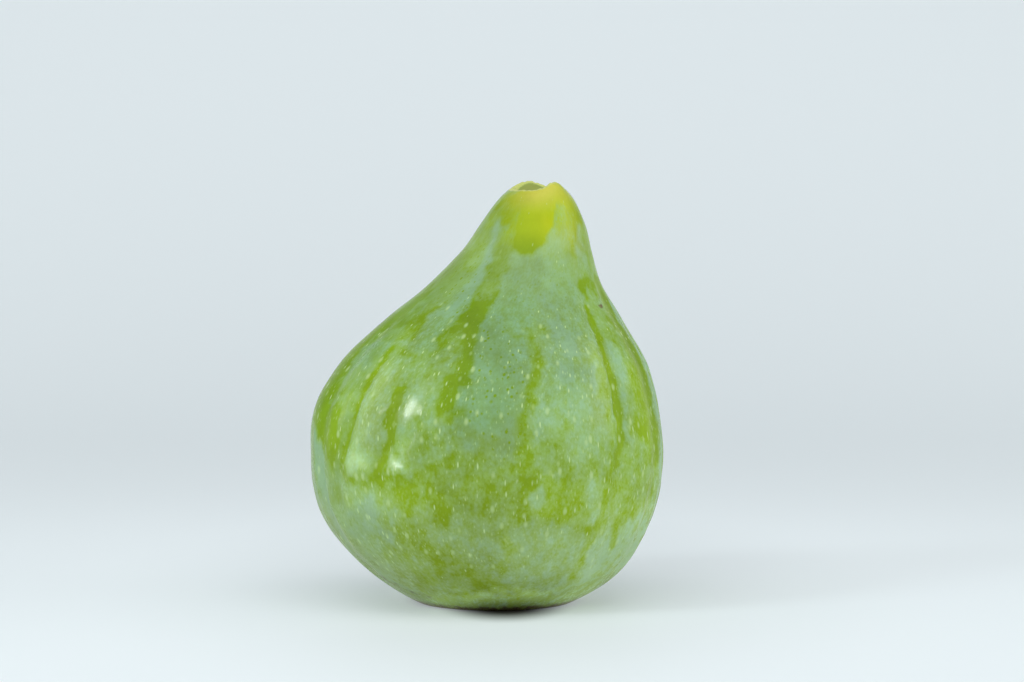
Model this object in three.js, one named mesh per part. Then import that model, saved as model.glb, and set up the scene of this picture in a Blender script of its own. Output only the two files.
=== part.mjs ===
// A fresh green fig, picked and standing on its eye end.
//
// The fruit grew as one piece, so it is one solid: a round belly, sloping shoulders, a neck
// that leans to one side and ends in the small torn cup where the stalk came off, shallow
// folds that run from neck to base, and a flat foot with the sunken eye in its middle.
//
// Millimetres, +Z up, +X the way the neck leans, -Y the front. The origin is on the resting
// plane, under the middle of the fruit's bounding box.

import * as THREE from "three";

// Driving dimensions.
const BELLY_RADIUS = 25.1; // widest part, before the folds are pressed in
const RIM_HEIGHT = 58.3; // rim of the torn cup, before its lobes are raised
const NECK_LEAN = 7.1; // how far the rim's centre stands off towards +X
const DEPTH_SHARE = 0.96; // front-to-back size over side-to-side size

// Mesh fineness.
const COLUMNS = 96; // around the fruit
const ROWS_PER_STATION = 2; // along the outline, between two stations

// The outline from the eye to the floor of the cup. Each station gives the radius as a share of
// BELLY_RADIUS, the height as a share of RIM_HEIGHT and the lean as a share of NECK_LEAN.
// Heights below 0 are what the fruit's own weight presses flat.
const STATIONS = [
  [0.0, 0.017, 0.155], // middle of the eye
  [0.07, 0.016, 0.155],
  [0.104, 0.02, 0.155], // groove round the eye
  [0.167, 0.003, 0.155],
  [0.26, -0.01, 0.155], // inner edge of the foot
  [0.39, -0.011, 0.155],
  [0.515, 0.008, 0.16], // outer edge of the foot
  [0.704, 0.072, 0.155],
  [0.88, 0.162, 0.06],
  [0.978, 0.262, 0.01],
  [1.004, 0.37, 0.0], // belly
  [0.971, 0.484, 0.0],
  [0.863, 0.587, 0.14], // shoulder
  [0.69, 0.68, 0.3],
  [0.496, 0.77, 0.545],
  [0.363, 0.855, 0.795], // neck
  [0.297, 0.914, 0.9],
  [0.223, 0.968, 0.965],
  [0.18, 0.989, 0.985],
  [0.142, 1.0, 1.0], // rim of the cup
  [0.1, 0.991, 1.0],
  [0.052, 0.983, 1.0],
  [0.0, 0.981, 1.0], // floor of the cup
];
const BELLY_HEIGHT = 0.37 * RIM_HEIGHT; // the level that the folds slant from

// A fold is a shallow valley along a meridian. Azimuths are in degrees from the front towards
// +X. A fold slants by so many degrees every 10 mm up, and sweeps round further on the neck.
const FRONT_FOLDS = [
  { azimuth: -66, slant: 0.5, sweep: 10, from: 3, to: 40, depth: 0.55 },
  { azimuth: -52.5, slant: 6.5, sweep: -14, from: 16, to: 40, depth: 0.55 },
  { azimuth: -34, slant: 3.5, sweep: 0, from: 18, to: 30, depth: 0.75 },
  { azimuth: -12, slant: 0.5, sweep: 0, from: 22, to: 48, depth: 0.22 },
  { azimuth: 11, slant: 0, sweep: 4, from: 6, to: 38, depth: 0.16 },
  { azimuth: 29, slant: 1, sweep: 8, from: 6, to: 34, depth: 0.14 },
  { azimuth: 48.3, slant: 1.4, sweep: 15, from: 5, to: 47, depth: 0.65 },
  { azimuth: 67.5, slant: 0, sweep: 8, from: 5, to: 45, depth: 0.6 },
];
const BACK_FOLDS = 11;
const FIRST_BACK_FOLD = 85; // degrees
const BACK_FOLD_STEP = 18.6; // degrees
const FOLD_WIDTH = 1.5; // half width of a fold, mm
const FOLD_FADE = 4; // length over which a fold runs out, mm
const SWEEP_START = 36; // height from which folds sweep round, mm
const SWEEP_SPAN = 14; // mm
const FOLDLESS_RADIUS = 6; // folds fade out towards the axis inside this radius, mm

// A fold's section is a sharp valley with a soft one under it.
const SHARP_SHARE = 0.6; // of the depth
const SOFT_SHARE = 0.4;
const SOFT_SPREAD = 3; // the soft valley falls off this much more slowly

// Where the stalk tore away, the rim stands up in lobes.
const RIM_LOBES = [
  { azimuth: 42, height: 1.15, spread: 27 },
  { azimuth: 112, height: 0.35, spread: 28 },
  { azimuth: 200, height: 1.3, spread: 45 },
];
const LOBES_START = 54; // height from which the lobes rise out of the neck, mm
const LOBES_INNER_RADIUS = 3; // inside it they fade out towards the floor of the cup, mm

// 0 up to edge a, 1 from edge b on, and a smooth S between them.
const ramp = (a, b, x) => THREE.MathUtils.smoothstep(x, a, b);

// An angle in degrees brought into -180 to 180.
const wrapped = (degrees) => THREE.MathUtils.euclideanModulo(degrees + 180, 360) - 180;

// The folds out of the front's sight are evenly spaced. Sines that never fall into step with
// one another make each a little different: a middle value, then how far it strays.
function backFolds() {
  return Array.from({ length: BACK_FOLDS }, (_, k) => ({
    azimuth: FIRST_BACK_FOLD + BACK_FOLD_STEP * k + 3 * Math.sin(2.4 * k),
    slant: 0 + 1.5 * Math.sin(1.3 * k),
    sweep: 0 + 10 * Math.sin(1.1 * k + 1),
    from: 6.5 - 1.5 * Math.cos(3.8 * k),
    to: 40 + 6 * Math.sin(2.7 * k),
    depth: 0.42 + 0.2 * Math.sin(2.1 * k + 0.5),
  }));
}

const FOLDS = [...FRONT_FOLDS, ...backFolds()];

// How deep the folds press into the skin at a place on it.
function foldDepthAt(azimuth, height, radius) {
  let total = 0;
  for (const fold of FOLDS) {
    const turned =
      fold.azimuth +
      (fold.slant * (height - BELLY_HEIGHT)) / 10 +
      fold.sweep * THREE.MathUtils.clamp((height - SWEEP_START) / SWEEP_SPAN, 0, 1.2) ** 2;
    const across = THREE.MathUtils.degToRad(wrapped(azimuth - turned)) * radius;
    const d = across / FOLD_WIDTH;
    const along =
      ramp(fold.from - FOLD_FADE, fold.from + FOLD_FADE, height) *
      (1 - ramp(fold.to - FOLD_FADE, fold.to + FOLD_FADE, height));
    const section = SHARP_SHARE * Math.exp(-d * d) + SOFT_SHARE / (1 + (d * d) / SOFT_SPREAD);
    total += fold.depth * along * section;
  }
  return total * ramp(0, FOLDLESS_RADIUS, radius);
}

// How far the rim's lobes raise the skin at a place on it.
function lobeRiseAt(azimuth, height, radius) {
  const rise = RIM_LOBES.reduce(
    (sum, lobe) =>
      sum + lobe.height * Math.exp(-((wrapped(azimuth - lobe.azimuth) / lobe.spread) ** 2)),
    0,
  );
  return rise * ramp(LOBES_START, RIM_HEIGHT, height) * ramp(0, LOBES_INNER_RADIUS, radius);
}

// The outline as rows of { radius, height, lean }, through all the stations.
function outlineRows() {
  const stations = STATIONS.map(
    ([radius, height, lean]) =>
      new THREE.Vector3(radius * BELLY_RADIUS, height * RIM_HEIGHT, lean * NECK_LEAN),
  );
  const curve = new THREE.CatmullRomCurve3(stations, false, "centripetal");
  return curve
    .getPoints((STATIONS.length - 1) * ROWS_PER_STATION)
    .map((p) => ({ radius: Math.max(0, p.x), height: p.y, lean: p.z }));
}

// The whole fruit: the outline turned round the axis, then each vertex moved to its place.
function figGeometry() {
  const rows = outlineRows();
  const profile = rows.map((row) => new THREE.Vector2(row.radius, row.height));
  const geometry = new THREE.LatheGeometry(profile, COLUMNS);
  const position = geometry.attributes.position;
  for (let i = 0; i < position.count; i++) {
    // A lathe's vertices run up one column after the other.
    const { radius, height, lean } = rows[i % rows.length];
    const azimuth = (Math.floor(i / rows.length) % COLUMNS) * (360 / COLUMNS);
    const angle = THREE.MathUtils.degToRad(azimuth);
    const pressed = radius - foldDepthAt(azimuth, height, radius);
    position.setXYZ(
      i,
      lean + pressed * Math.sin(angle),
      -DEPTH_SHARE * pressed * Math.cos(angle),
      Math.max(0, height) + lobeRiseAt(azimuth, height, radius),
    );
  }
  geometry.computeBoundingBox();
  const middle = geometry.boundingBox.getCenter(new THREE.Vector3());
  geometry.translate(-middle.x, -middle.y, 0);
  geometry.computeVertexNormals();
  return geometry;
}

const waxySkin = new THREE.MeshStandardMaterial({
  name: "waxy_green_skin",
  color: 0x8fae5a,
  roughness: 0.45,
  metalness: 0,
});

const fig = new THREE.Mesh(figGeometry(), waxySkin);
fig.name = "fig";

const part = new THREE.Group();
part.add(fig);

export default part;
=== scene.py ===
"""Dresses a fresh green fig: its waxy, bloomed skin, a pale studio and the camera.

Laid out as a Blender add-on and run as a script. Lengths are in millimetres until a mesh, light
or camera is made, and azimuths are in degrees from the front (-Y) towards +X. A place on the
skin is an azimuth and how many mm up it is.
"""

import bpy
import numpy as np
from bpy.props import FloatProperty, FloatVectorProperty, IntProperty, PointerProperty
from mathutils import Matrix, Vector


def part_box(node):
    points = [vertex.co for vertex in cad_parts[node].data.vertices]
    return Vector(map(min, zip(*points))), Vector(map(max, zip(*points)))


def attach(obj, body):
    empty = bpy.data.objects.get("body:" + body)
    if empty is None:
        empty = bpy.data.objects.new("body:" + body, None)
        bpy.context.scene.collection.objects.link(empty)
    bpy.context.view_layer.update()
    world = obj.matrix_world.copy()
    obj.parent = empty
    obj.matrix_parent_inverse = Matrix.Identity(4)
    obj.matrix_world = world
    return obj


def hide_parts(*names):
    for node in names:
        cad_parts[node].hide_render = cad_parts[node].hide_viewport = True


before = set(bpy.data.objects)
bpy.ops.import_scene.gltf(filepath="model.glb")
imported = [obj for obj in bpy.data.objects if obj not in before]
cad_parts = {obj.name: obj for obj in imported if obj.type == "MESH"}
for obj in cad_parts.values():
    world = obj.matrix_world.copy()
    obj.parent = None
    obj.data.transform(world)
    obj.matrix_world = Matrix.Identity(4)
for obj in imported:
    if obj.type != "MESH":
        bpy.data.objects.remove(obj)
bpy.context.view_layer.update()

bl_info = {
    "name": "Fresh Fig",
    "version": (1, 0, 0),
    "blender": (4, 5, 0),
    "location": "View3D > Sidebar > Fig",
    "description": "Grows a fresh green fig with a waxy, bloomed skin and sets a pale studio",
    "category": "Add Mesh",
}

MM = 0.001
FRUIT_LOW, FRUIT_HIGH = (np.array(corner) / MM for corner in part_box("fig"))
WIDTH, _, HEIGHT = FRUIT_HIGH - FRUIT_LOW


# ---- form of the fruit

# The outline from the eye to the floor of the torn cup: radius, height and lean, as shares of
# the belly radius, the rim height and the neck's lean. Heights below 0 are what the fruit's own
# weight presses flat.
STATIONS = [
    (0.0, 0.017, 0.155),  # middle of the eye
    (0.07, 0.016, 0.155),
    (0.104, 0.02, 0.155),  # groove round the eye
    (0.167, 0.003, 0.155),
    (0.26, -0.01, 0.155),  # inner edge of the foot
    (0.37, -0.009, 0.155),
    (0.515, 0.018, 0.16),  # outer edge of the foot
    (0.704, 0.072, 0.155),
    (0.88, 0.162, 0.06),
    (0.978, 0.262, 0.01),
    (1.004, 0.37, 0.0),  # belly
    (0.971, 0.484, 0.0),
    (0.863, 0.587, 0.14),  # shoulder
    (0.69, 0.68, 0.3),
    (0.496, 0.77, 0.545),
    (0.363, 0.855, 0.795),  # neck
    (0.297, 0.914, 0.9),
    (0.223, 0.968, 0.965),
    (0.18, 0.989, 0.985),
    (0.142, 1.0, 1.0),  # rim of the cup
    (0.1, 0.991, 1.0),
    (0.052, 0.983, 1.0),
    (0.0, 0.981, 1.0),  # floor of the cup
]
BELLY_LEVEL = 0.37  # height of the belly, as a share of the rim height
OUTLINE_POINTS = 6000  # worked out along the outline before the rows are picked

# How the rows crowd together on the torn rim and at the eye: by how much, over how far (mm).
RIM_CROWDING, RIM_CROWD_REACH = 2.2, 2.2
EYE_CROWDING, EYE_CROWD_REACH = 1.5, 3.5

# Folds: azimuth, slant (degrees in 10 mm up), sweep (degrees, on the neck), from and to (mm up),
# depth (mm).
FRONT_FOLDS = [
    (-66, 0.5, 10, 3, 40, 0.55),
    (-52.5, 6.5, -14, 16, 40, 0.55),
    (-34, 3.5, 0, 18, 29, 0.6),
    (-12, 0.5, 0, 22, 48, 0.22),
    (11, 0, 4, 6, 38, 0.16),
    (29, 1, 8, 6, 34, 0.14),
    (48.3, 0.5, 1, 5, 45, 0.65),
    (69.3, 0.8, 6, 5, 45, 0.36),
]
BACK_FOLDS = 11
FIRST_BACK_FOLD = 85  # degrees
BACK_FOLD_STEP = 18.6  # degrees
FOLD_WIDTH = 1.5  # half width, mm
FOLD_FADE = 4  # length over which a fold runs out, mm
SWEEP_START, SWEEP_SPAN, SWEEP_MOST = 36, 14, 1.2  # from, over (mm), and so many spans at most
FOLDLESS_RADIUS = 6  # folds fade out towards the axis inside this radius, mm

# A fold's section is a sharp valley with a soft one under it: shares of the depth, and how much
# more slowly the soft one falls off.
SHARP_SHARE, SOFT_SHARE, SOFT_SPREAD = 0.6, 0.4, 3

# Lobes of the torn rim: azimuth, height (mm), spread (degrees).
RIM_LOBES = [(42, 1.15, 27), (112, 0.35, 28), (200, 1.3, 45)]
LOBES_START = 54  # mm up
LOBES_INNER_RADIUS = 3  # mm

# Small tears all round the rim: how many of each size, how deep and how far down (mm).
TEARS = (11, 17, 29)
TEAR_DEPTH, TEAR_REACH = 0.09, 0.5

# Rings of scales in the eye: scales in half a turn, turn (radians), radius (mm).
EYE_RINGS = [(3.5, 0, 1.2), (4.5, 1, 2.6)]
SCALE_REACH, SCALE_DROP = 0.8, 0.35  # mm
EYE_TOP = 5  # what is near the axis and lower than this is the eye, mm

# Lumps all over the skin: wavelength (mm), height (mm), seed.
LUMPS = [(9, 0.05, 21), (3.5, 0.012, 22)]
LUMPS_FADE = (2, 12)  # radii from where to where they grow to their full height, mm

# Paths and edges stray a little: wavelength, how far (mm), seed. Ridges take half of it.
STRAY_ACROSS, STRAY_ALONG = (2.5, 0.28, 3), (2.5, 0.4, 8)
RELIEF_STRAY = 0.5

# Ridges and creases finer than the folds: a path of (azimuth, mm up), half width (mm), rise (mm).
RELIEF = [
    # pillows beside the left folds
    ([(-53, 21), (-46, 20.3), (-37, 20)], 1.7, 0.55),
    ([(-30.5, 20.6), (-26, 20.6)], 1.5, 0.6),
    ([(-43, 34.5), (-42.5, 29), (-45, 24)], 1.8, 0.26),
    ([(-26, 32), (-25.5, 27)], 3.2, 0.16),
    # dents and bumps that catch the light
    ([(-23, 23), (-20, 25.4)], 0.6, 0.14),
    ([(-20.5, 28), (-20.2, 29)], 0.45, 0.07),
    ([(-12.2, 27.4), (-12, 27.8)], 0.5, 0.12),
    ([(-37, 26), (-36.4, 27.5)], 0.9, 0.12),
    # sharp creases down the folds
    ([(-47, 36.6), (-47.7, 32), (-47.9, 29), (-50, 24.7), (-52.2, 20.5)], 0.7, -0.2),
    ([(-31, 28.5), (-31.8, 27), (-30.6, 25), (-33.3, 21.9)], 0.8, -0.14),
    ([(49.2, 42), (49, 38), (47.5, 34.6), (48.7, 31), (48.7, 24)], 0.9, -0.2),
    ([(47, 22), (44, 17.6), (40.3, 12.2)], 0.7, -0.15),
    # ridges beside them
    ([(43.5, 38), (43, 33), (44.5, 25)], 1.3, 0.26),
    ([(42.5, 55), (41.5, 51.5), (45, 48.5)], 1, 0.1),
    ([(53, 52), (53, 48)], 1.2, -0.08),
    ([(-73, 24), (-71, 14), (-68, 8)], 1.5, 0.22),
    ([(-62, 15), (-58, 8)], 1.4, 0.2),
    # the front of the shoulder
    ([(-44, 53), (-30, 47.5), (-26, 42)], 0.9, -0.14),
    ([(-20, 50), (-17, 45), (-22, 39.5)], 1.2, 0.16),
]

# ---- what lies on the skin

# Strokes: a path of (azimuth, mm up), half width (mm) and what the stroke brings the skin to.
# In the lists down to the thick patches that is the bloom's thickness: 0 for bare skin,
# 1 for thick bloom.

# Broad washes; two along the edges are also a painted sheen.
WASHES_AND_SHEEN = [
    ([(-75, 48), (-45, 46)], 5, 0.42),
    ([(0, 46), (5, 38), (2, 28)], 6, 0.72),
    ([(18, 46), (28, 42), (30, 34), (28, 26)], 5, 0.74),
    ([(-28, 49), (-27, 42), (-31, 38)], 2.2, 0.62),
    ([(-42, 33), (-39, 24)], 3, 0.6),
    ([(-77, 42), (-62, 40)], 3.2, -0.08),
    ([(-54, 45), (-49.5, 42)], 2, 0.5),
    ([(-66, 37), (-55, 34.5)], 1.5, 0.42),
    ([(-78, 31), (-70, 27), (-61, 25)], 3.6, 0),
    ([(-54, 29), (-53, 24)], 1.6, 0.3),
    ([(-27, 34), (-19, 31), (-22, 25)], 3, 0.45),
    ([(-35, 18), (-12, 17.5), (2, 18)], 3, 0.33),
    ([(-14, 22), (4, 20)], 2, 0.4),
    ([(14, 19.5), (27, 17)], 3.4, 0.18),
    ([(20, 23.5), (36, 20)], 2.5, 0.45),
    ([(-48, 12), (-41, 14), (-37, 10.5)], 3, 0.9),
    ([(-30, 10), (-20, 6), (-5, 5)], 5, 0.4),
    ([(-14, 13), (0, 12)], 2, 0.55),
    ([(8, 9), (24, 8), (30, 5)], 4.5, 0.66),
    ([(44, 8), (58, 8.5), (75, 8)], 4, 0.95),
    ([(54, 38), (52.5, 33)], 1.2, 0.7),
    ([(62, 40), (65, 34)], 2.4, 0.25),
    ([(66, 30), (66, 22.5)], 2.6, -0.05),
    ([(54, 25), (55, 17)], 2.5, 0.4),
    ([(43, 18), (68, 17)], 3, 0.33),
    ([(50, 49), (68, 48)], 1.8, 0.4),
    ([(66, 56), (76, 50), (80, 46)], 2, 0.3),
    # bloom and a painted sheen along the lower left and the right edge
    ([(-75, 16), (-66, 9), (-52, 5)], 3.5, 0.8),
    ([(78, 36), (78, 14)], 1, 0.6),
    ([(18, 52.8), (36, 52)], 2.6, 0.52),
    ([(26, 56.5), (45, 55)], 2.4, 0.34),
    ([(-24, 56), (-19, 53)], 1.5, 0.25),
]

# Rubbed lines down the folds.
RUBBED_FOLDS = [
    ([(-47, 36.6), (-47.3, 33.8), (-48, 31.6), (-47.8, 29.2), (-48.7, 26.2)], 0.52, -0.08),
    ([(-48.7, 26.2), (-51, 23.2), (-52.2, 20.5)], 0.5, 0),
    ([(-51.7, 20.9), (-50.2, 19.4), (-46, 18.7), (-41, 18.8)], 0.65, 0.1),
    ([(-31, 31), (-31.4, 28.4), (-31.5, 26.6), (-30.4, 24.9)], 0.9, -0.25),
    ([(-30.2, 24.9), (-32.3, 23.6), (-33.5, 22), (-35, 20.3)], 0.6, -0.05),
    ([(49.4, 42), (49, 38.1), (47.3, 34.6)], 0.62, -0.15),
    ([(47.3, 34.6), (48.8, 31.4), (49, 24.9)], 0.75, -0.25),
    ([(49.1, 24.9), (48.2, 22.9), (46, 21.4)], 0.7, -0.08),
    ([(46, 22.4), (43, 20.8), (41.8, 17.4), (40.3, 13.5)], 0.6, 0.12),
    ([(40.3, 13.5), (37.2, 11), (36.8, 7.2), (35.3, 5.1)], 0.7, 0.28),
    ([(49.5, 18.2), (50.2, 13.1), (51.5, 8.9)], 0.5, 0.28),
    ([(77.7, 45.4), (71.8, 41.5), (70, 38.8), (70.6, 36.5), (70.8, 31.4)], 1.5, -0.25),
    ([(70.8, 31.4), (69.5, 28.9), (69, 23.6), (69.7, 21.2)], 1.6, -0.2),
    ([(57.3, 46.4), (53, 45.4), (51.2, 44.6), (52.5, 43)], 0.35, 0.1),
]

# Rubbed patches and streaks, from left to right, the neck last.
RUBBED = [
    ([(-65, 43.5), (-67, 40.5), (-74, 38), (-75, 34), (-74, 30)], 1.6, -0.12),
    ([(-58, 40), (-50, 40.5), (-45.7, 41.1)], 0.9, 0.2),
    ([(-80, 35), (-73, 33), (-76, 28)], 1.9, -0.1),
    ([(-70, 31.5), (-58, 30.4)], 0.5, 0.12),
    ([(-75, 29), (-68, 27.5)], 0.9, 0.1),
    ([(-73, 29), (-62, 26), (-61, 23.5)], 2.8, -0.2),
    ([(-64, 22), (-58, 20)], 0.8, 0.25),
    ([(-46, 40.8), (-44, 38.7), (-41, 38.4)], 1.1, 0.1),
    ([(-46, 36.5), (-38, 36.3), (-32, 35.5)], 0.4, 0.2),
    ([(-47, 42), (-41, 41.9)], 0.35, 0.1),
    ([(-37, 19.2), (-30, 19.4), (-22.3, 19.3)], 0.85, 0),
    ([(-27, 18.7), (-26.3, 15.3)], 1, 0),
    ([(-26, 35.5), (-23, 36.8), (-22, 39)], 0.4, 0.2),
    ([(-17, 44), (-15, 40.5)], 1.7, -0.15),
    ([(-17, 43.5), (-19, 49)], 1.3, 0.28),
    ([(-24, 38), (-20.5, 40)], 0.9, 0),
    ([(-14.5, 40), (-12, 36.5), (-11, 33)], 1.4, -0.17),
    ([(-16.7, 36.6), (-15, 34)], 0.7, 0.2),
    ([(-24, 38.3), (-19, 38)], 0.6, 0.15),
    ([(-12, 33), (-13.5, 30.5), (-12.8, 28.5)], 1.1, -0.12),
    ([(-12, 29), (-9, 28.5)], 0.7, 0.05),
    ([(-17.5, 20.8), (-14, 21.8), (-10.3, 22.6)], 0.75, 0.1),
    ([(-12, 23.4), (-8, 23)], 0.5, 0.25),
    ([(-17.5, 17.2), (-13.2, 16), (-15, 14.8)], 0.95, 0.08),
    ([(-18, 16), (-17, 14.6)], 0.5, 0.3),
    ([(-30, 12.8), (-28, 11)], 0.8, 0.25),
    ([(-23, 11.5), (-20, 9.5), (-21, 6.5)], 1, 0.2),
    ([(-32, 8), (-27, 4.6)], 0.8, 0.3),
    ([(-12, 9), (-6, 5), (3, 4.5)], 1.2, 0.25),
    ([(-6, 21.5), (-2, 21.8)], 0.5, 0.25),
    ([(-6, 18.6), (-0.5, 18.5), (1.5, 18)], 0.95, 0.05),
    ([(-2, 16.5), (-1, 15.3)], 0.5, 0.25),
    ([(3.3, 7.2), (6.5, 8.4), (6, 11)], 0.9, 0.3),
    ([(3, 38.9), (8, 38.4)], 0.5, 0.3),
    ([(9, 38.6), (14.5, 38.2), (20, 39.2)], 0.6, 0.25),
    ([(14, 37.5), (15.7, 34.5)], 0.95, 0.12),
    ([(15.7, 34.5), (14, 32), (14, 30.2)], 0.65, 0.12),
    ([(14, 30), (12, 27.5), (11.8, 25.8)], 0.95, 0.1),
    ([(11.8, 25.8), (12.7, 22.9)], 0.7, 0.15),
    ([(12.3, 22.6), (12.5, 20)], 1.1, 0.02),
    ([(12.5, 20), (12.5, 17.5), (10.7, 14.5)], 1, 0.05),
    ([(7.5, 15), (10, 14)], 0.5, 0.2),
    ([(17, 18.8), (21, 16.5)], 0.9, 0.1),
    ([(19, 14.8), (24, 14), (28, 15.3)], 1, 0.05),
    ([(23, 17.2), (27, 18.5), (31, 18)], 1.3, 0.2),
    ([(28, 16.5), (31, 15)], 0.9, 0.22),
    ([(20, 21), (23, 24.5), (27, 26.5)], 0.7, 0.35),
    ([(33, 35.2), (38, 35)], 0.6, 0.35),
    ([(35.5, 12), (38.2, 11.2)], 0.7, 0.05),
    ([(37, 10.5), (35.5, 8.5)], 0.6, 0.2),
    ([(51.5, 16.5), (52.7, 13.9), (50.5, 12)], 0.6, 0.2),
    ([(55, 20), (57, 17.5), (55, 14.5)], 0.8, 0.25),
    ([(57, 24.5), (61, 24)], 0.7, 0.25),
    ([(60, 26), (66, 24.5), (67, 21.5)], 2, -0.1),
    ([(63, 31), (68, 28)], 1.5, -0.1),
    ([(61, 32), (64, 29.5), (62, 27.5)], 1.2, 0.15),
    ([(42, 33.5), (43.3, 29), (44.5, 24.5)], 0.9, 0.38),
    ([(51.5, 45), (58, 45.4), (66, 45.3)], 0.9, 0),
    ([(60, 44.3), (64, 43.7)], 0.6, 0.1),
    ([(-62, 56.5), (-40, 57), (-28, 56)], 1.1, 0),
    ([(-62, 54.5), (-50, 53.5)], 0.8, 0.15),
    ([(-36.5, 54.9), (-24, 53.5), (-21, 51.5)], 0.8, 0.15),
    ([(-24, 50.5), (-19, 51.2)], 0.7, 0.3),
    ([(-50, 47.7), (-44, 47.2)], 0.35, 0.1),
    ([(-63, 50), (-50, 50)], 0.4, 0.3),
    ([(43, 51), (46, 49.6), (48.5, 49)], 0.42, 0.15),
    ([(-25, 57.3), (0, 56.8), (30, 57.5), (68, 55)], 1.3, 0.05),
    ([(54, 54), (50, 51.5)], 0.5, 0.2),
    ([(-46, 55.4), (-32, 55.7), (-22, 55)], 1, 0.22),
]

# The bare tongue below the torn rim.
TONGUE = [([(-1, 51.4), (2, 53.3)], 2.15, -0.25), ([(2, 53.3), (7, 57)], 2.1, -0.25)]

# Patches where the bloom is thickest; along two edges they are also a painted sheen, and round
# two glints painted highlights.
THICK_BLOOM_AND_SHEEN = [
    ([(-43.5, 53.5), (-37.3, 51.7), (-31, 48)], 0.55, 1.05),
    ([(-31, 48), (-28.5, 45.6), (-30, 42)], 0.85, 1),
    ([(-33, 41.5), (-38, 41)], 0.7, 0.9),
    ([(-66, 36), (-60, 37), (-51, 36.9)], 0.8, 0.68),
    ([(-62, 35), (-55, 34.6)], 0.8, 0.8),
    ([(-66, 33.3), (-63, 33.4)], 0.5, 0.7),
    # thick bloom and a painted sheen along the lower left edge
    ([(-72, 24), (-67, 18.6), (-66.2, 15.5), (-66, 10)], 1, 1.05),
    ([(-66, 29.3), (-60, 29.1)], 0.4, 0.6),
    # painted highlights: pale bloom round two glints
    ([(-46.5, 21.4), (-43, 21.5)], 0.9, 0.66),
    ([(-29.5, 22.1), (-27.3, 22.3)], 0.6, 0.75),
    ([(-43, 15), (-40, 12), (-36, 11)], 1.1, 1),
    ([(-17, 33), (-16, 35.5)], 0.4, 0.7),
    ([(20, 43.5), (25, 41)], 0.7, 0.95),
    ([(25, 39.5), (30, 36.5), (32.7, 37.5)], 1.1, 1.05),
    ([(26, 34), (30, 31)], 0.8, 0.95),
    ([(15, 16.2), (16.5, 17.6)], 0.5, 0.85),
    ([(36, 16.5), (34.5, 19)], 0.8, 0.8),
    ([(54, 37), (53, 32)], 0.7, 0.88),
    # thick bloom and a painted sheen along the right edge
    ([(82, 42), (80, 36), (79, 24), (79, 12)], 1.3, 0.9),
    ([(52, 31), (51.5, 25)], 0.5, 0.8),
    ([(53, 49.5), (60, 47.8)], 0.7, 0.8),
    ([(-5, 2.7), (13, 2.7)], 1.1, 0.62),
    ([(60, 53), (62, 51)], 0.5, 0.8),
    ([(51, 12.5), (46, 8), (44, 4.5)], 0.7, 1),
]

# Painted light and shade, with some of the skin's own lightness: where the skin is brighter or
# darker than the rest, whatever lies on it.
PAINTED_LIGHT_AND_TONES = [
    # Painted shade: the shoulders, the left edge and the middle of the belly darker.
    ([(-62, 45), (-40, 43), (-27, 45)], 5, 0.9),
    ([(-62, 55), (-40, 53)], 2, 0.93),
    ([(-76, 47), (-58, 41)], 3.5, 0.85),
    ([(-80, 42), (-70, 38), (-76, 30)], 3.4, 0.88),
    ([(-6, 46), (-2, 37), (0, 27)], 5.5, 0.84),
    ([(-14, 39.5), (6, 36)], 3.5, 0.75),
    ([(-32, 39), (-22, 37)], 2.8, 0.84),
    ([(25, 42), (30, 35)], 4, 0.86),
    ([(-66, 37), (-57, 36.5)], 1.8, 0.86),
    ([(-12, 22), (-6, 18)], 3, 0.93),
    # Painted light on the ridges beside the left folds, painted highlights, and painted shade down
    # the crease at -31 degrees.
    ([(-43, 34.5), (-42.7, 29.4), (-45.5, 24)], 1.1, 1.25),
    ([(-47, 21.5), (-43, 21.5)], 1.2, 1.45),
    ([(-29.5, 21.9), (-27.5, 22.2)], 0.8, 1.45),
    ([(-1, 50.2), (4, 50.4)], 1.2, 0.97),
    ([(-31, 29.5), (-31, 25)], 0.4, 0.85),
    ([(-54.5, 29), (-57, 25)], 1.5, 1.22),
    # Painted light: the lower belly and the ridges on the right lighter; the right edge darker as
    # painted shade.
    ([(-46, 17), (-22, 17)], 2.5, 1.18),
    ([(42.5, 36), (43.5, 30), (44, 25)], 1.2, 1.22),
    ([(60, 33), (64, 30), (62, 24)], 2.5, 1.2),
    ([(75, 43), (72, 36), (73, 28)], 1.2, 0.86),
    ([(50, 21), (76, 18.5)], 2.5, 1.12),
    ([(30, 28), (34, 22)], 4, 1.08),
    ([(14, 9), (30, 9)], 4, 1.16),
    ([(20, 16), (46, 16)], 3, 1.2),
    ([(46, 12), (70, 12)], 4, 1.22),
    ([(45, 6), (70, 7)], 4, 1.2),
    ([(42.5, 55), (41.5, 51)], 0.8, 1.15),
    ([(8, 55), (26, 57.5)], 1.4, 0.92),
    # Painted light: the bottom edge lighter, as if lit from the floor.
    ([(-30, 1.5), (0, 1.5), (60, 2)], 2.5, 1.4),
    ([(-10, 2.4), (17, 2.6)], 1.6, 1.75),
]

# Where the skin's red is weaker or stronger than the rest, from 0 to 1.
WARMTHS = [
    ([(-64, 42), (-60, 37)], 3, 0.08),
    ([(-70, 34), (-68, 28)], 3, 0.2),
    ([(0, 40), (-1, 30)], 4.5, 0.12),
    ([(-25, 42), (-27, 38)], 2.5, 0.22),
    ([(-41, 32), (-40, 25)], 2.5, 0.68),
    ([(42, 36), (41, 28)], 2.5, 0.62),
    ([(64, 32), (64, 26)], 3, 0.52),
    ([(27, 54), (46, 52)], 2.8, 0.98),
    ([(-12, 54.5), (21, 55.5)], 2.5, 0.4),
    ([(-75, 12), (-60, 6), (-46, 4)], 4, 0.98),
]

# Dark pinpricks in the bloom, as the share of pinpricks that show.
STIPPLED = [
    ([(-2, 37), (2, 33), (4, 27)], 3.5, 1),
    ([(-45, 47), (-24, 43)], 2.5, 0.7),
    ([(-2, 44), (25, 44)], 3, 0.35),
]

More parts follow.
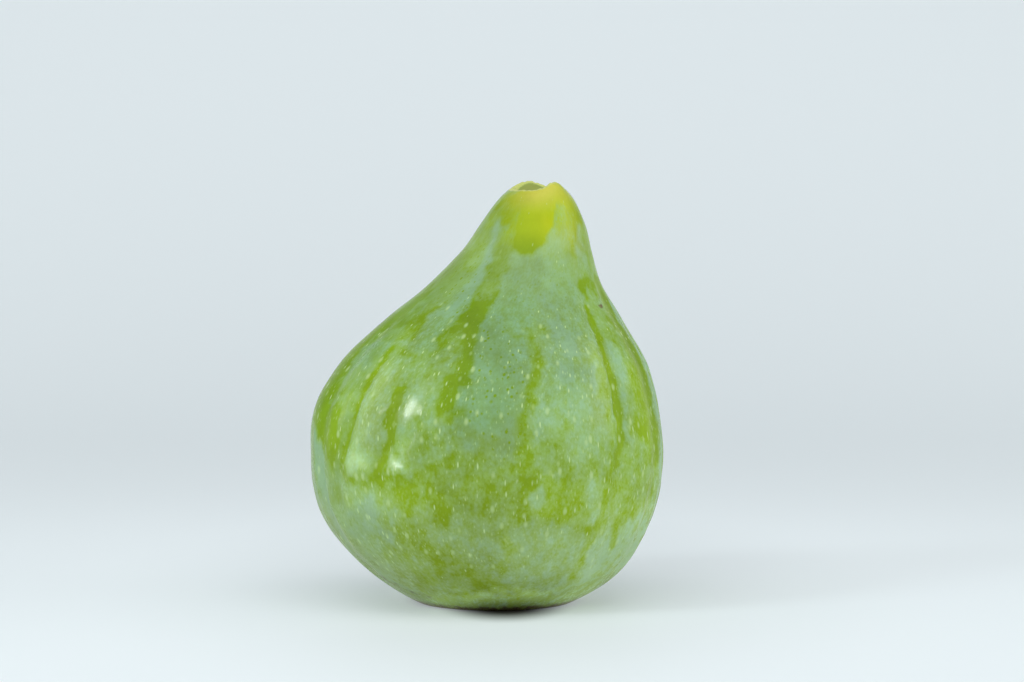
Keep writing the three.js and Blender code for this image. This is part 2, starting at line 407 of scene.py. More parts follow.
# Where the skin is polished, as the weight of a clear coat on it.
POLISHED = [
    ([(-26, 28.5), (-24.7, 31.5)], 1.8, 1),
    ([(-30, 21.6), (-27, 22)], 1.1, 1),
    ([(-46.5, 21.2), (-43.5, 21.3)], 1.2, 1),
    ([(-35, 26), (-34, 27.5)], 0.7, 1),
    ([(-23.5, 23), (-20.5, 25.4)], 0.6, 1),
    ([(-21.3, 28), (-21, 29)], 0.5, 1),
    ([(-13.6, 27.3), (-13.4, 28)], 0.4, 1),
    ([(-54, 30), (-54, 27)], 0.9, 0.8),
]

# Brown marks: a nick, and a tinge by the ground.
BROWN = [
    ([(60.7, 42.2), (62.7, 42.2)], 0.42, 0.62),
    ([(-62, 4.4), (-50, 2.8), (-38, 2.2)], 0.8, 0.42),
]

# Out of the front's sight the strokes are drawn at random.
BACK_SIDE = (80, 285)  # azimuths
BACK_SEED = 5
BACK_WASHES = 26
BACK_WASH_BLOOM = [0.3, 0.45, 0.7, 0.9, 1.0]
BACK_RUBS = 34

# What the skin is like before any stroke.
FIRST_BLOOM, FIRST_STIPPLING = 0.55, 0.12

# Qualities of the neck's skin: the azimuth they are strongest at and their spread (degrees), and
# the heights over which they grow (mm).
PALE_FACING, FRESH_FACING, YELLOW_FACING = (25, 38), (12, 48), (12, 58)
PALE_NECK, FRESH_NECK, YELLOW_NECK, WARM_NECK = (47, 54), (48.5, 55.5), (54.5, 58), (44, 52)
CALM_NECK, CALM_SIDE = (38, 52), (-60, 18)

# Over what radii and heights, and how far past the rim, these begin or end, mm.
# The edge by the ground is darkened and browned as painted shade, over the second pair's radii and
# the third pair's heights.
BROWN_EYE_END, GROUND_SHADE_EDGE, GROUND_SHADE_TOP = (2.2, 4.5), (9.5, 11), (0.1, 1.6)
FLECKS_FROM, FLECKS_TO = (2, 10), (33, 45)
TORN_FROM, CUP_FROM, BROWN_CUP_FROM = (-1.1, 0.1), (0.3, 1.2), (1.6, 3.2)

HEIGHT_SQUEEZE = 0.45  # of heights, where flecks are laid out


def smooth(low, high, x):
    """0 up to low, 1 from high on, and 3 t^2 - 2 t^3 between them."""
    t = np.clip((x - low) / (high - low), 0, 1)
    return t * t * (3 - 2 * t)


def wrapped(degrees):
    """An angle brought into -180 to 180."""
    return (degrees + 180) % 360 - 180


def through_points(points, count):
    """A centripetal Catmull-Rom curve through the points, as count points on it.

    Between two points it is the cubic whose end slopes come from the neighbours, each divided by
    the square root of its distance. Past the ends the neighbours are mirrored.
    """
    p = np.asarray(points, float)
    p = np.vstack([2 * p[0] - p[1], p, 2 * p[-1] - p[-2]])
    t = np.linspace(0, len(points) - 1, count)
    i = np.minimum(t.astype(int), len(points) - 2)
    w = (t - i)[:, None]
    a, b, c, d = p[i], p[i + 1], p[i + 2], p[i + 3]

    def root_distance(one, other):
        return np.maximum(((one - other) ** 2).sum(1, keepdims=True) ** 0.25, 1e-4)

    ab, bc, cd = root_distance(a, b), root_distance(b, c), root_distance(c, d)
    out_b = ((b - a) / ab - (c - a) / (ab + bc) + (c - b) / bc) * bc
    in_c = ((c - b) / bc - (d - b) / (bc + cd) + (d - c) / cd) * bc
    cubic = 2 * b - 2 * c + out_b + in_c
    square = -3 * b + 3 * c - 2 * out_b - in_c
    return ((cubic * w + square) * w + out_b) * w + b


def back_folds():
    """The folds out of the front's sight, evenly spaced, as rows like FRONT_FOLDS.

    Sines that never fall into step with one another make each a little different: a middle
    value, then how far it strays.
    """
    k = np.arange(BACK_FOLDS)
    azimuth = FIRST_BACK_FOLD + BACK_FOLD_STEP * k + 3 * np.sin(2.4 * k)
    slant = 1.5 * np.sin(1.3 * k)
    sweep = 10 * np.sin(1.1 * k + 1)
    start = 6.5 - 1.5 * np.cos(3.8 * k)
    end = 40 + 6 * np.sin(2.7 * k)
    depth = 0.42 + 0.2 * np.sin(2.1 * k + 0.5)
    return np.stack([azimuth, slant, sweep, start, end, depth], axis=1)


class Surface:
    """The fruit's surface on a grid: rows from the eye to the cup's floor, columns around.

    azimuth, height, radius and arc (the way up the outline from the eye) are arrays that
    broadcast to rows x columns.
    """

    def __init__(self, form):
        self.belly_radius = form.belly_radius / MM
        self.rim_height = form.rim_height / MM
        self.depth_share = form.depth_share
        driving = np.array([self.belly_radius, self.rim_height, form.neck_lean / MM])
        fine = through_points(np.array(STATIONS) * driving, OUTLINE_POINTS)
        steps = np.hypot(np.diff(fine[:, 0]), np.diff(fine[:, 1]))
        self.fine_arc = np.r_[0, np.cumsum(steps)]
        self.fine = fine
        self.rim_arc = self.fine_arc[np.argmax(fine[:, 1])]
        self.arc = self.row_arcs(form.rows)[:, None]
        radius, self.height, self.lean = (np.interp(self.arc, self.fine_arc, v) for v in fine.T)
        self.radius = np.maximum(radius, 0)
        self.azimuth = np.arange(form.columns)[None, :] * 360 / form.columns
        self.angle = np.radians(self.azimuth)
        self.shape = (form.rows, form.columns)
        self.stray_across = self.wander(*STRAY_ACROSS)
        self.stray_along = self.wander(*STRAY_ALONG)

    def row_arcs(self, rows):
        """Where the rows lie: closer together on the torn rim and at the eye."""
        s = self.fine_arc
        at_rim = np.exp(-(((s - self.rim_arc) / RIM_CROWD_REACH) ** 2))
        at_eye = np.exp(-((s / EYE_CROWD_REACH) ** 2))
        crowding = 1 + RIM_CROWDING * at_rim + EYE_CROWDING * at_eye
        run = np.r_[0, np.cumsum(crowding[1:] * np.diff(s))]
        return np.interp(np.linspace(0, run[-1], rows), run, s)

    def arc_at(self, height):
        """The arc at which the fruit's side is so high."""
        side = slice(np.argmin(self.fine[:, 1]), np.argmax(self.fine[:, 1]))
        return np.interp(height, self.fine[side, 1], self.fine_arc[side])

    def round_azimuth(self, middle, spread):
        """A bell curve round an azimuth, exp(-(d / spread)^2)."""
        return np.exp(-((wrapped(self.azimuth - middle) / spread) ** 2))

    def wander(self, wavelength, reach, seed, waves=36, lengths=(0.6, 1.7)):
        """A smooth random field, typically as large as reach.

        It is the sum of sine waves that cross the fruit in all directions, each with its own
        phase and a wavelength drawn from the given one times the two lengths.
        """
        draw = np.random.default_rng(seed)
        across = draw.normal(size=(waves, 3))
        across = across / np.linalg.norm(across, axis=1, keepdims=True)
        pace = across * (2 * np.pi / (wavelength * draw.uniform(*lengths, (waves, 1))))
        x = self.lean + self.radius * np.sin(self.angle)
        y = -self.radius * np.cos(self.angle)
        phases = draw.uniform(0, 2 * np.pi, waves)
        total = sum(
            np.sin(along[0] * x + along[1] * y + along[2] * self.height + phase)
            for along, phase in zip(pace, phases)
        )
        return reach * total * np.sqrt(2 / waves)

    def distance_to(self, path, stray=1.0):
        """How far each point of the skin is from a path, in mm along the skin, strayed a little.

        Each straight stretch's nearest point is at t = a.b / b.b along it, held within 0 to 1,
        where b is the stretch and a runs from its start to the point.
        """
        no_length = 1e-9
        nearest = np.inf
        for (azimuth_a, height_a), (azimuth_b, height_b) in zip(path, path[1:]):
            ax = np.radians(wrapped(self.azimuth - azimuth_a)) * self.radius
            ax = ax + stray * self.stray_across
            bx = np.radians(wrapped(azimuth_b - azimuth_a)) * self.radius
            ay = self.arc - self.arc_at(height_a) + stray * self.stray_along
            by = self.arc_at(height_b) - self.arc_at(height_a)
            t = np.clip((ax * bx + ay * by) / (bx * bx + by * by + no_length), 0, 1)
            nearest = np.minimum(nearest, np.hypot(ax - t * bx, ay - t * by))
        return nearest

    def fold_depth(self):
        """How deep the folds press in: each a sharp valley exp(-d^2) with a soft one under it."""
        total = 0
        for azimuth, slant, sweep, start, end, depth in [*FRONT_FOLDS, *back_folds()]:
            rise = self.height - BELLY_LEVEL * self.rim_height
            swept = np.clip((self.height - SWEEP_START) / SWEEP_SPAN, 0, SWEEP_MOST) ** 2
            across = wrapped(self.azimuth - azimuth - slant * rise / 10 - sweep * swept)
            d = np.radians(across) * self.radius / FOLD_WIDTH
            along = smooth(start - FOLD_FADE, start + FOLD_FADE, self.height)
            along = along * (1 - smooth(end - FOLD_FADE, end + FOLD_FADE, self.height))
            section = SHARP_SHARE * np.exp(-d * d) + SOFT_SHARE / (1 + d * d / SOFT_SPREAD)
            total = total + depth * along * section
        return total * smooth(0, FOLDLESS_RADIUS, self.radius)

    def relief(self):
        """Ridges and creases, exp(-(d / half width)^2) at a distance d, and shallow lumps."""
        ridges = sum(
            rise * np.exp(-((self.distance_to(path, RELIEF_STRAY) / half_width) ** 2))
            for path, half_width, rise in RELIEF
        )
        lumps = sum(self.wander(*lump) for lump in LUMPS)
        return ridges + lumps * smooth(*LUMPS_FADE, self.radius)

    def lobe_rise(self):
        """How far the rim's lobes raise the skin: a bell curve round each lobe's azimuth.

        Tears are cut into it at the edge, as deep as the mean of sines sin(n a + n^2).
        """
        rise = sum(h * self.round_azimuth(azimuth, spread) for azimuth, h, spread in RIM_LOBES)
        on_rim = smooth(LOBES_START, self.rim_height, self.height)
        tears = sum(np.sin(n * self.angle + n * n) for n in TEARS) / len(TEARS)
        at_edge = np.exp(-(((self.arc - self.rim_arc) / TEAR_REACH) ** 2))
        lift = rise * on_rim * smooth(0, LOBES_INNER_RADIUS, self.radius)
        return lift + TEAR_DEPTH * (tears - 1) * at_edge

    def eye_drop(self):
        """How far the eye's scales hang down: rings of lobes |sin(n a + turn)|."""
        rings = sum(
            np.abs(np.sin(n * self.angle + turn))
            * np.exp(-(((self.radius - radius) / SCALE_REACH) ** 2))
            for n, turn, radius in EYE_RINGS
        )
        return SCALE_DROP * rings * (self.height < EYE_TOP)

    def points(self):
        """Rows x columns x 3 points, centred on the frame's box."""
        pressed = self.radius - self.fold_depth() + self.relief()
        x = self.lean + pressed * np.sin(self.angle)
        y = -self.depth_share * pressed * np.cos(self.angle)
        z = np.maximum(self.height, 0) + self.lobe_rise()
        z = np.maximum(z - self.eye_drop(), 0)
        middle = (FRUIT_LOW + FRUIT_HIGH) / 2
        x += middle[0] - (x.min() + x.max()) / 2
        y += middle[1] - (y.min() + y.max()) / 2
        return np.stack(np.broadcast_arrays(x, y, z + FRUIT_LOW[2]), axis=-1)

    def brush(self, field, strokes, fringe, stray=1.0):
        """Brings the field to each stroke's value in turn, fading out over the fringe (mm)."""
        for path, half_width, value in strokes:
            inside = half_width - self.distance_to(path, stray)
            field = field + (value - field) * smooth(-fringe, fringe, inside)
        return field

    def back_strokes(self):
        """Washes at the back, and rubbed streaks along its folds and rubbed patches between."""
        draw = np.random.default_rng(BACK_SEED)

        def scattered(count, heights, tilt, slip, half_widths, pick, *blooms):
            """Short strokes anywhere at the back, whose ends are off by about tilt and slip."""
            strokes = []
            azimuths = draw.uniform(*BACK_SIDE, count)
            for azimuth, height in zip(azimuths, draw.uniform(*heights, count)):
                end = (azimuth + draw.normal(0, tilt), height + draw.normal(0, slip))
                path = [(azimuth, height), end]
                strokes.append((path, draw.uniform(*half_widths), pick(*blooms)))
            return strokes

        streaks = []
        for azimuth, slant, _, start, end, _ in back_folds():
            low = draw.uniform(start, 20)
            high = draw.uniform(low + 5, end)
            path = [(azimuth, low), (azimuth + slant * (high - low) / 10, high)]
            streaks.append((path, draw.uniform(0.5, 1.3), draw.uniform(0.03, 0.25)))
        washes = scattered(BACK_WASHES, (4, 50), 5, 4, (2, 5), draw.choice, BACK_WASH_BLOOM)
        patches = scattered(BACK_RUBS, (8, 46), 2.5, 3, (0.3, 1.2), draw.uniform, 0.05, 0.35)
        return washes, streaks + patches

    def bloom(self):
        """How thick the bloom lies: washes, then rubbed and thick patches, then folds and tongue.

        Each row below is some strokes, their fringe (mm) and how much their edges stray.
        """
        washes, rubbed = self.back_strokes()
        cover = np.full(self.shape, FIRST_BLOOM)
        for strokes, fringe, stray in (
            # Some washes and thick patches paint a sheen along the edges and highlights as pale
            # bloom.
            (WASHES_AND_SHEEN + washes, 2.6, 2.5),
            (RUBBED + rubbed, 0.6, 1),
            (THICK_BLOOM_AND_SHEEN, 0.7, 1),
            (RUBBED_FOLDS, 0.35, 0.6),
            (TONGUE, 0.75, 0.4),
        ):
            cover = self.brush(cover, strokes, fringe, stray)
        return cover

    def tone(self):
        """How bright the skin is: strokes, mostly of painted light and shade, and a paler front of
        the neck.
        """
        pale = 0.18 * self.round_azimuth(*PALE_FACING) * smooth(*PALE_NECK, self.height)
        return self.brush(np.ones(self.shape), PAINTED_LIGHT_AND_TONES, 2.0) * (1 + pale)

    def warmth(self):
        """How strong the skin's red is: stronger low down and on the neck."""
        low = 1 - smooth(0, 32, self.height)
        warmth = 0.34 + 0.52 * low + 0.26 * smooth(*WARM_NECK, self.height)
        return self.brush(warmth, WARMTHS, 2.5)

    def freshness(self):
        """How fresh the green of bare skin is: it grows up the neck's front."""
        return self.round_azimuth(*FRESH_FACING) * smooth(*FRESH_NECK, self.height)

    def yellowness(self):
        """How yellow the skin is, close below the torn rim."""
        return self.round_azimuth(*YELLOW_FACING) * smooth(*YELLOW_NECK, self.height)

    def brownness_and_ground_shade(self):
        """Brown scales in the eye, a browned edge by the ground that is painted shade, a brownish
        cup, and marks.
        """
        eye = (1 - smooth(*BROWN_EYE_END, self.radius)) * (self.height < EYE_TOP)
        # Painted shade: the edge where the fruit meets the ground is darkened and browned.
        edge = smooth(*GROUND_SHADE_EDGE, self.radius) * (1 - smooth(*GROUND_SHADE_TOP, self.height))
        cup = 0.45 * smooth(*BROWN_CUP_FROM, self.arc - self.rim_arc)
        return self.brush(eye + 0.75 * edge + cup, BROWN, 0.3, stray=0.3)

    def stippling(self):
        """The share of dark pinpricks that show."""
        return self.brush(np.full(self.shape, FIRST_STIPPLING), STIPPLED, 2.5)

    def mottling(self):
        """How strongly noise breaks up the bloom: calm on the neck, far left and where stippled."""
        calm = smooth(*CALM_NECK, self.height) + 0.8 * self.round_azimuth(*CALM_SIDE)
        return (1 - 0.55 * np.minimum(calm, 1)) * (1 - 0.4 * self.stippling())

    def fleck_share(self):
        """The share of pale flecks that show: many round the belly, few on the neck and foot."""
        belly = smooth(*FLECKS_FROM, self.height) * (1 - smooth(*FLECKS_TO, self.height))
        return 0.25 + 0.7 * belly

    def layers(self):
        """What the skin's material reads, as grids."""
        past_rim = self.arc - self.rim_arc
        inside = smooth(*CUP_FROM, past_rim)
        return {
            "along_skin": self.along_skin(),
            "bloom": self.bloom(),
            "tone": self.tone(),
            "warmth": self.warmth(),
            "fresh": self.freshness(),
            "yellow": self.yellowness(),
            "stippled": self.stippling(),
            "flecks": self.fleck_share(),
            "torn": smooth(*TORN_FROM, past_rim) * (1 - inside),
            "cup": inside,
            "polish": self.brush(np.zeros(self.shape), POLISHED, 0.6),
            "brown": self.brownness_and_ground_shade(),
            "mottling": self.mottling(),
        }

    def along_skin(self):
        """Where flecks and streaks are laid out: a cylinder of the fruit's own girth, on which
        heights are squeezed, so that what is round there is long on the skin."""
        girth = np.sqrt(self.radius * self.belly_radius)
        place = (girth * np.sin(self.angle), -girth * np.cos(self.angle), HEIGHT_SQUEEZE * self.arc)
        return np.stack(np.broadcast_arrays(*place), axis=-1)


def fruit_mesh(name, points):
    """A closed mesh from a grid whose first and last rows are one point each, facing outwards."""
    rows, columns = points.shape[:2]
    inner = points[1:-1].reshape(-1, 3)
    vertices = np.vstack([points[0, :1], inner, points[-1, :1]])
    ring = 1 + np.arange(rows - 2)[:, None] * columns + np.arange(columns)[None, :]
    after = np.roll(ring, -1, axis=1)
    quads = np.stack([ring[:-1], after[:-1], after[1:], ring[1:]], axis=-1).reshape(-1, 4)
    last = len(vertices) - 1
    bottom = np.stack([np.zeros(columns, int), after[0], ring[0]], axis=-1)
    top = np.stack([np.full(columns, last), ring[-1], after[-1]], axis=-1)
    mesh = bpy.data.meshes.new(name)
    mesh.from_pydata(vertices * MM, [], [*quads.tolist(), *bottom.tolist(), *top.tolist()])
    mesh.shade_smooth()
    return mesh


def store(mesh, name, grid):
    """Writes a rows x columns grid of numbers, or of vectors, to the mesh's points."""
    grid = np.asarray(grid, np.float32)
    values = np.concatenate([grid[0, :1], grid[1:-1].reshape(-1, *grid.shape[2:]), grid[-1, :1]])
    kind, field = ("FLOAT_VECTOR", "vector") if grid.ndim == 3 else ("FLOAT", "value")
    layer = mesh.attributes.new(name, kind, "POINT")
    layer.data.foreach_set(field, values.ravel())


# ---- materials


def linear(colour):
    """A colour as seen on a screen, as the light it stands for: the sRGB curve undone."""
    c = np.array(colour[:3])
    value = np.where(c <= 0.04045, c / 12.92, ((c + 0.055) / 1.055) ** 2.4)
    return (*value, 1.0)


class Wire:
    """A shader socket that arithmetic works on: each operator adds one Math node."""

    def __init__(self, tree, socket):
        self.tree = tree
        self.socket = socket

    def node(self, kind, settings=None, inputs=None, output=0):
        """Adds any node: its settings are set first, then its sockets get values or links."""
        made = self.tree.nodes.new(kind)
        for name, value in (settings or {}).items():
            if name == "stops":  # a ramp has two to begin with
                for _ in value[2:]:
                    made.color_ramp.elements.new(0.5)
                for element, (position, colour) in zip(made.color_ramp.elements, value):
                    element.position, element.color = position, colour
            else:
                setattr(made, name, value)
        for key, value in (inputs or {}).items():
            if isinstance(value, Wire):
                self.tree.links.new(value.socket, made.inputs[key])
            else:
                made.inputs[key].default_value = value
        return Wire(self.tree, made.outputs[output] if len(made.outputs) else None)

    def maths(self, operation, first, second=0.0):
        return self.node("ShaderNodeMath", {"operation": operation}, {0: first, 1: second})

    def __add__(self, other):
        return self.maths("ADD", self, other)

    def __sub__(self, other):
        return self.maths("SUBTRACT", self, other)

    def __rsub__(self, other):
        return self.maths("SUBTRACT", other, self)

    def __mul__(self, other):
        return self.maths("MULTIPLY", self, other)

    __radd__ = __add__
    __rmul__ = __mul__

    def ramp(self, low, high):
        """0 up to low, 1 from high on, smooth between."""
        settings = {"interpolation_type": "SMOOTHSTEP"}
        return self.node("ShaderNodeMapRange", settings, {0: self, 1: low, 2: high})

    def mix(self, below, above):
        """A colour: below where this is 0, above where it is 1."""
        settings = {"data_type": "RGBA", "clamp_factor": True}
        return self.node("ShaderNodeMix", settings, {0: self, 6: below, 7: above}, output=2)

    def vector_maths(self, operation, inputs, output=0):
        settings = {"operation": operation}
        return self.node("ShaderNodeVectorMath", settings, {0: self, **inputs}, output)

    def scaled(self, factor):
        """A colour or vector times a number."""
        return self.vector_maths("SCALE", {"Scale": factor})

    def times(self, vector):
        """A vector times another, axis by axis."""
        return self.vector_maths("MULTIPLY", {1: vector})

    def distance_from(self, x, y):
        """How far a place is from a point on the ground, given in mm."""
        return self.vector_maths("DISTANCE", {1: (x * MM, y * MM, 0)}, "Value")

    def attribute(self, name, output="Fac"):
        return self.node("ShaderNodeAttribute", {"attribute_name": name}, output=output)

    def noise(self, place, scale, detail, roughness=0.5):
        """Noise about 0, mostly within 0.15 either way; scale is features to the mm."""
        inputs = {"Vector": place, "Scale": scale, "Detail": detail, "Roughness": roughness}
        return self.node("ShaderNodeTexNoise", {"normalize": True}, inputs) - 0.5

    def spots(self, place, scale, reach, share):
        """Round spots, 1 in their middle, on a share of Voronoi cells.

        scale is cells to the mm, and reach is the spots' radius in cells.
        """
        inputs = {"Vector": place, "Scale": scale}
        distance = self.node("ShaderNodeTexVoronoi", None, inputs, "Distance")
        lot = self.node("ShaderNodeTexVoronoi", None, inputs, "Color")
        lot = self.node("ShaderNodeSeparateColor", None, {0: lot})
        return (1 - distance.ramp(0.25 * reach, reach)) * (share - lot).ramp(0.0, 0.3)


def new_material(name):
    """An empty node material, and a wire to build on."""
    material = bpy.data.materials.new(name)
    material.use_nodes = True
    material.node_tree.nodes.clear()
    return material, Wire(material.node_tree, None)


def skin_material(look):
    """The fig's skin.

    Bloom lies over the skin as "bloom" says, from bare olive at 0 to thick bluish bloom at 1.
    Noise breaks its edges up, and dark pinpricks go through it. Along two edges and round two
    glints the bloom is also a painted sheen and painted highlights. Painted light and shade, with
    some of the skin's own lightness, make the skin brighter or darker, and "warmth" its red weaker
    or stronger. The neck's fresh green and yellow show less under bloom. Pale flecks, longer than
    wide, come in three sizes. The edge by the ground is darkened as painted shade. Polished skin
    has a clear coat that shows the lights.
    """
    material, wire = new_material("fig_skin")
    place = wire.node("ShaderNodeTexCoord", output="Object").scaled(1 / MM)
    along = wire.attribute("along_skin", "Vector")
    streaked = along.times((1, 1, 1.6))
    noise_weight = wire.attribute("mottling")
    blotches = wire.noise(place, scale=0.32, detail=2)
    patches = wire.noise(streaked, scale=0.85, detail=3, roughness=0.55)
    grain = wire.noise(streaked, scale=2.6, detail=1) * noise_weight
    pricks = wire.spots(along.times((1, 1, 2)), scale=1.4, reach=0.46, share=0.9)
    pricks = pricks * (patches + 0.05).ramp(0, 0.1) * wire.attribute("stippled")

    mottling = (0.8 * blotches + 1.5 * patches) * noise_weight + 0.55 * grain
    bloom = wire.attribute("bloom") + mottling - 1.3 * pricks
    stops = [
        (0.0, linear(look.bare)),
        (0.3, linear(look.dusted)),
        (0.56, linear(look.thin_bloom)),
        (0.77, linear(look.bloom)),
        (1.0, linear(look.thick_bloom)),
    ]
    colour = wire.node("ShaderNodeValToRGB", {"stops": stops}, {0: bloom}, "Color")
    fresh = wire.attribute("fresh") * (1 - bloom.ramp(0.05, 0.6))
    colour = fresh.mix(colour, linear(look.fresh))
    yellow = wire.attribute("yellow") * (1 - 0.6 * bloom.ramp(0.1, 0.8))
    colour = yellow.mix(colour, linear(look.yellow))
    # Painted light and shade, with some of the skin's own lightness, scale the colour; blotches and
    # grain vary it at random.
    colour = colour.scaled(wire.attribute("tone") + 0.3 * blotches + 0.2 * grain)
    least_red, most_red = 0.9, 1.2
    cool, warm = (colour.times((red, 1, 1)) for red in (least_red, most_red))
    colour = wire.attribute("warmth").mix(cool, warm)

    share = wire.attribute("flecks")
    dashes = wire.spots(along.times((1, 1, 0.6)), scale=1.25, reach=0.2, share=share)
    blobs = wire.spots(along.times((1, 1, 1.3)), scale=0.66, reach=0.3, share=share - 0.1)
    dots = wire.spots(along, scale=2.2, reach=0.3, share=share - 0.2)
    flecks = 0.9 * dashes + 0.55 * blobs + 0.35 * dots
    colour = flecks.mix(colour, linear(look.fleck))

    colour = wire.attribute("cup").mix(colour, linear(look.cup))
    torn = (wire.attribute("torn") + 1.2 * grain).ramp(0.3, 0.7)
    colour = torn.mix(colour, linear(look.torn))
    # Scales in the eye, marks, a brownish cup, and painted shade along the edge by the ground.
    brown = (wire.attribute("brown") + 1.2 * patches).ramp(0.3, 0.8)
    colour = brown.mix(colour, linear(look.brown))

    height = 0.5 * patches + 0.22 * grain + 0.12 * flecks
    inputs = {"Strength": 0.6, "Distance": 0.12 * MM, "Height": height}
    bump = wire.node("ShaderNodeBump", None, inputs, "Normal")
    inputs = {
        "Base Color": colour,
        "Roughness": 0.22 + 0.14 * bloom.ramp(0.45, 0.95) + 0.1 * grain,
        "Normal": bump,
        "IOR": 1.45,
        "Specular IOR Level": 0.05,
        "Coat Weight": wire.attribute("polish"),
        "Coat Roughness": 0.22,
        "Subsurface Weight": 0.12,
        "Subsurface Radius": (1.0, 1.2, 0.5),
        "Subsurface Scale": MM,
    }
    shader = wire.node("ShaderNodeBsdfPrincipled", None, inputs)
    wire.node("ShaderNodeOutputMaterial", None, {"Surface": shader})
    return material


def stage_material(settings):
    """Smooth pale card that glows a little, as if lit from behind.

    Its glow is painted light. A painted contact shadow makes it dark right under the fruit, and
    the glow is less close round it, as painted shade. The glow dips a little on the floor, rises
    towards the wall, and both it and the card's colour halve far away, as a painted falloff.
    """
    material, wire = new_material("studio_card")
    place = wire.node("ShaderNodeTexCoord", output="Object")
    stretched = place.times((1, 0.6, 1))
    spread = place.distance_from(0, -60)
    under = stretched.distance_from(2.5, -3.6)
    around = stretched.distance_from(2.5, 12)
    # Painted contact shadow: the card darkens to near black under the fruit.
    shade = under.ramp(3.2 * MM, 10 * MM)
    # The glow is painted light, less close round the fruit as painted shade.
    glow = 0.59 + 0.14 * around.ramp(20 * MM, 64 * MM) - 0.1 * spread.ramp(80 * MM, 230 * MM)
    glow = glow + 0.33 * spread.ramp(240 * MM, 690 * MM)
    # Painted falloff: the card and its glow halve far away.
    nearness = 1 - 0.5 * spread.ramp(800 * MM, 1200 * MM)
    glow = glow * shade * nearness
    shaded, black = (0.06, 0.06, 0.05, 1), (0, 0, 0, 1)
    inputs = {
        "Base Color": shade.mix(shaded, linear(settings.card)).scaled(nearness),
        "Roughness": 0.6,
        "Specular IOR Level": 0.2,
        "Emission Color": glow.mix(black, linear(settings.glow)),
        "Emission Strength": settings.glow_strength,
    }
    shader = wire.node("ShaderNodeBsdfPrincipled", None, inputs)
    wire.node("ShaderNodeOutputMaterial", None, {"Surface": shader})
    return material


# ---- settings

# The driving sizes as shares of the box's width, height and width.
BELLY_SHARE, RIM_SHARE, LEAN_SHARE = 0.5023, 0.9782, 0.1421


def length_property(name, description, default):
    """A length, whose default is given in mm."""
    return FloatProperty(name=name, description=description, default=default * MM, unit="LENGTH")


class FigForm(bpy.types.PropertyGroup):
    """Sizes of the fruit."""

    belly_radius: length_property(
        "Belly radius", "Widest radius, before the folds are pressed in", BELLY_SHARE * WIDTH
    )
    rim_height: length_property(
        "Rim height", "Height of the torn rim, before its lobes rise", RIM_SHARE * HEIGHT
    )
    neck_lean: length_property(
        "Neck lean", "How far the rim stands off to one side", LEAN_SHARE * WIDTH
    )
    depth_share: FloatProperty(
        name="Depth share",
        description="Front-to-back size over side-to-side size",
        default=0.96,
        subtype="FACTOR",
    )
    columns: IntProperty(name="Columns", description="Faces around the fruit", default=400)
    rows: IntProperty(name="Rows", description="Rows of points from eye to cup", default=236)


def colour_property(name, description, default):
    """A colour as seen on a screen."""
    return FloatVectorProperty(
        name=name, description=description, default=default, subtype="COLOR_GAMMA", size=3
    )


class FigLook(bpy.types.PropertyGroup):
    """Colours of the fruit."""

    bare: colour_property("Bare", "Skin with the bloom rubbed off", (0.478, 0.603, 0.13))
    dusted: colour_property("Dusted", "Skin under a trace of bloom", (0.508, 0.636, 0.29))
    thin_bloom: colour_property("Thin bloom", "Skin under thin bloom", (0.525, 0.652, 0.385))
    bloom: colour_property("Bloom", "Skin under bloom", (0.529, 0.664, 0.445))
    thick_bloom: colour_property("Thick bloom", "Thickest bloom", (0.54, 0.675, 0.51))
    fresh: colour_property("Fresh green", "Fresh skin on the neck", (0.61, 0.675, 0.11))
    yellow: colour_property("Yellow", "Skin below the torn rim", (0.69, 0.70, 0.29))
    torn: colour_property("Torn flesh", "Torn edge of the cup", (0.74, 0.77, 0.44))
    cup: colour_property("Cup", "Inside of the torn cup", (0.56, 0.60, 0.31))
    # This colour also paints the shade along the edge by the ground.
    brown: colour_property("Brown", "Bruises, and scales round the eye", (0.41, 0.37, 0.23))
    fleck: colour_property("Flecks", "Pale flecks", (0.72, 0.82, 0.58))


class StageSettings(bpy.types.PropertyGroup):
    """The studio."""

    card: colour_property("Card", "Pale card under and behind the fruit", (0.70, 0.725, 0.735))
    glow: colour_property("Glow", "Light that comes through the card", (0.885, 0.92, 0.935))
    glow_strength: FloatProperty(name="Glow strength", description="Its strength", default=0.62)


# ---- stage

# The card's floor runs from the front to the sweep, a quarter round that ends in the wall (mm).
CARD_SIDE, CARD_FRONT = 1500, -1500
SWEEP_BEGIN, SWEEP_RADIUS, WALL_TOP = 300, 400, 1400

# Lights: place (mm), width and height (mm), power (W) and colour.
LIGHTS = {
    "key": ((-446, -308, 345), (150, 150), 1.1, (0.9, 0.97, 1.0)),
    "overhead": ((0, -250, 600), (700, 500), 2.74, (1, 1, 1)),
    "side_left": ((-450, -100, 140), (500, 260), 0.5, (1, 1, 1)),
    "side_right": ((450, -100, 140), (500, 260), 1.2, (1, 1, 1)),
    "front": ((0, -700, 320), (600, 400), 1.25, (1, 1, 1)),
}
LIGHTS_AIM = (0, 0, 28)
SKY_COLOUR, SKY_STRENGTH = (0.8, 0.9, 1.0, 1), 0.02

# The camera: place and aim (mm), focal length and width of its frame (mm), nearest sight (mm).
CAMERA_PLACE, CAMERA_AIM = (3.47, -402, 58), (3.47, 0, 36.9)
LENS, FRAME_WIDTH, NEAREST = 100, 36, 10


def aimed(name, data, place, aim):
    """Sets up a light or a camera at a place, in mm, turned to face the aim."""
    thing = bpy.data.objects.new(name, data)
    place, aim = Vector(place), Vector(aim)
    thing.location = place * MM
    thing.rotation_euler = (aim - place).to_track_quat("-Z", "Y").to_euler()
    bpy.context.scene.collection.objects.link(thing)
    return thing


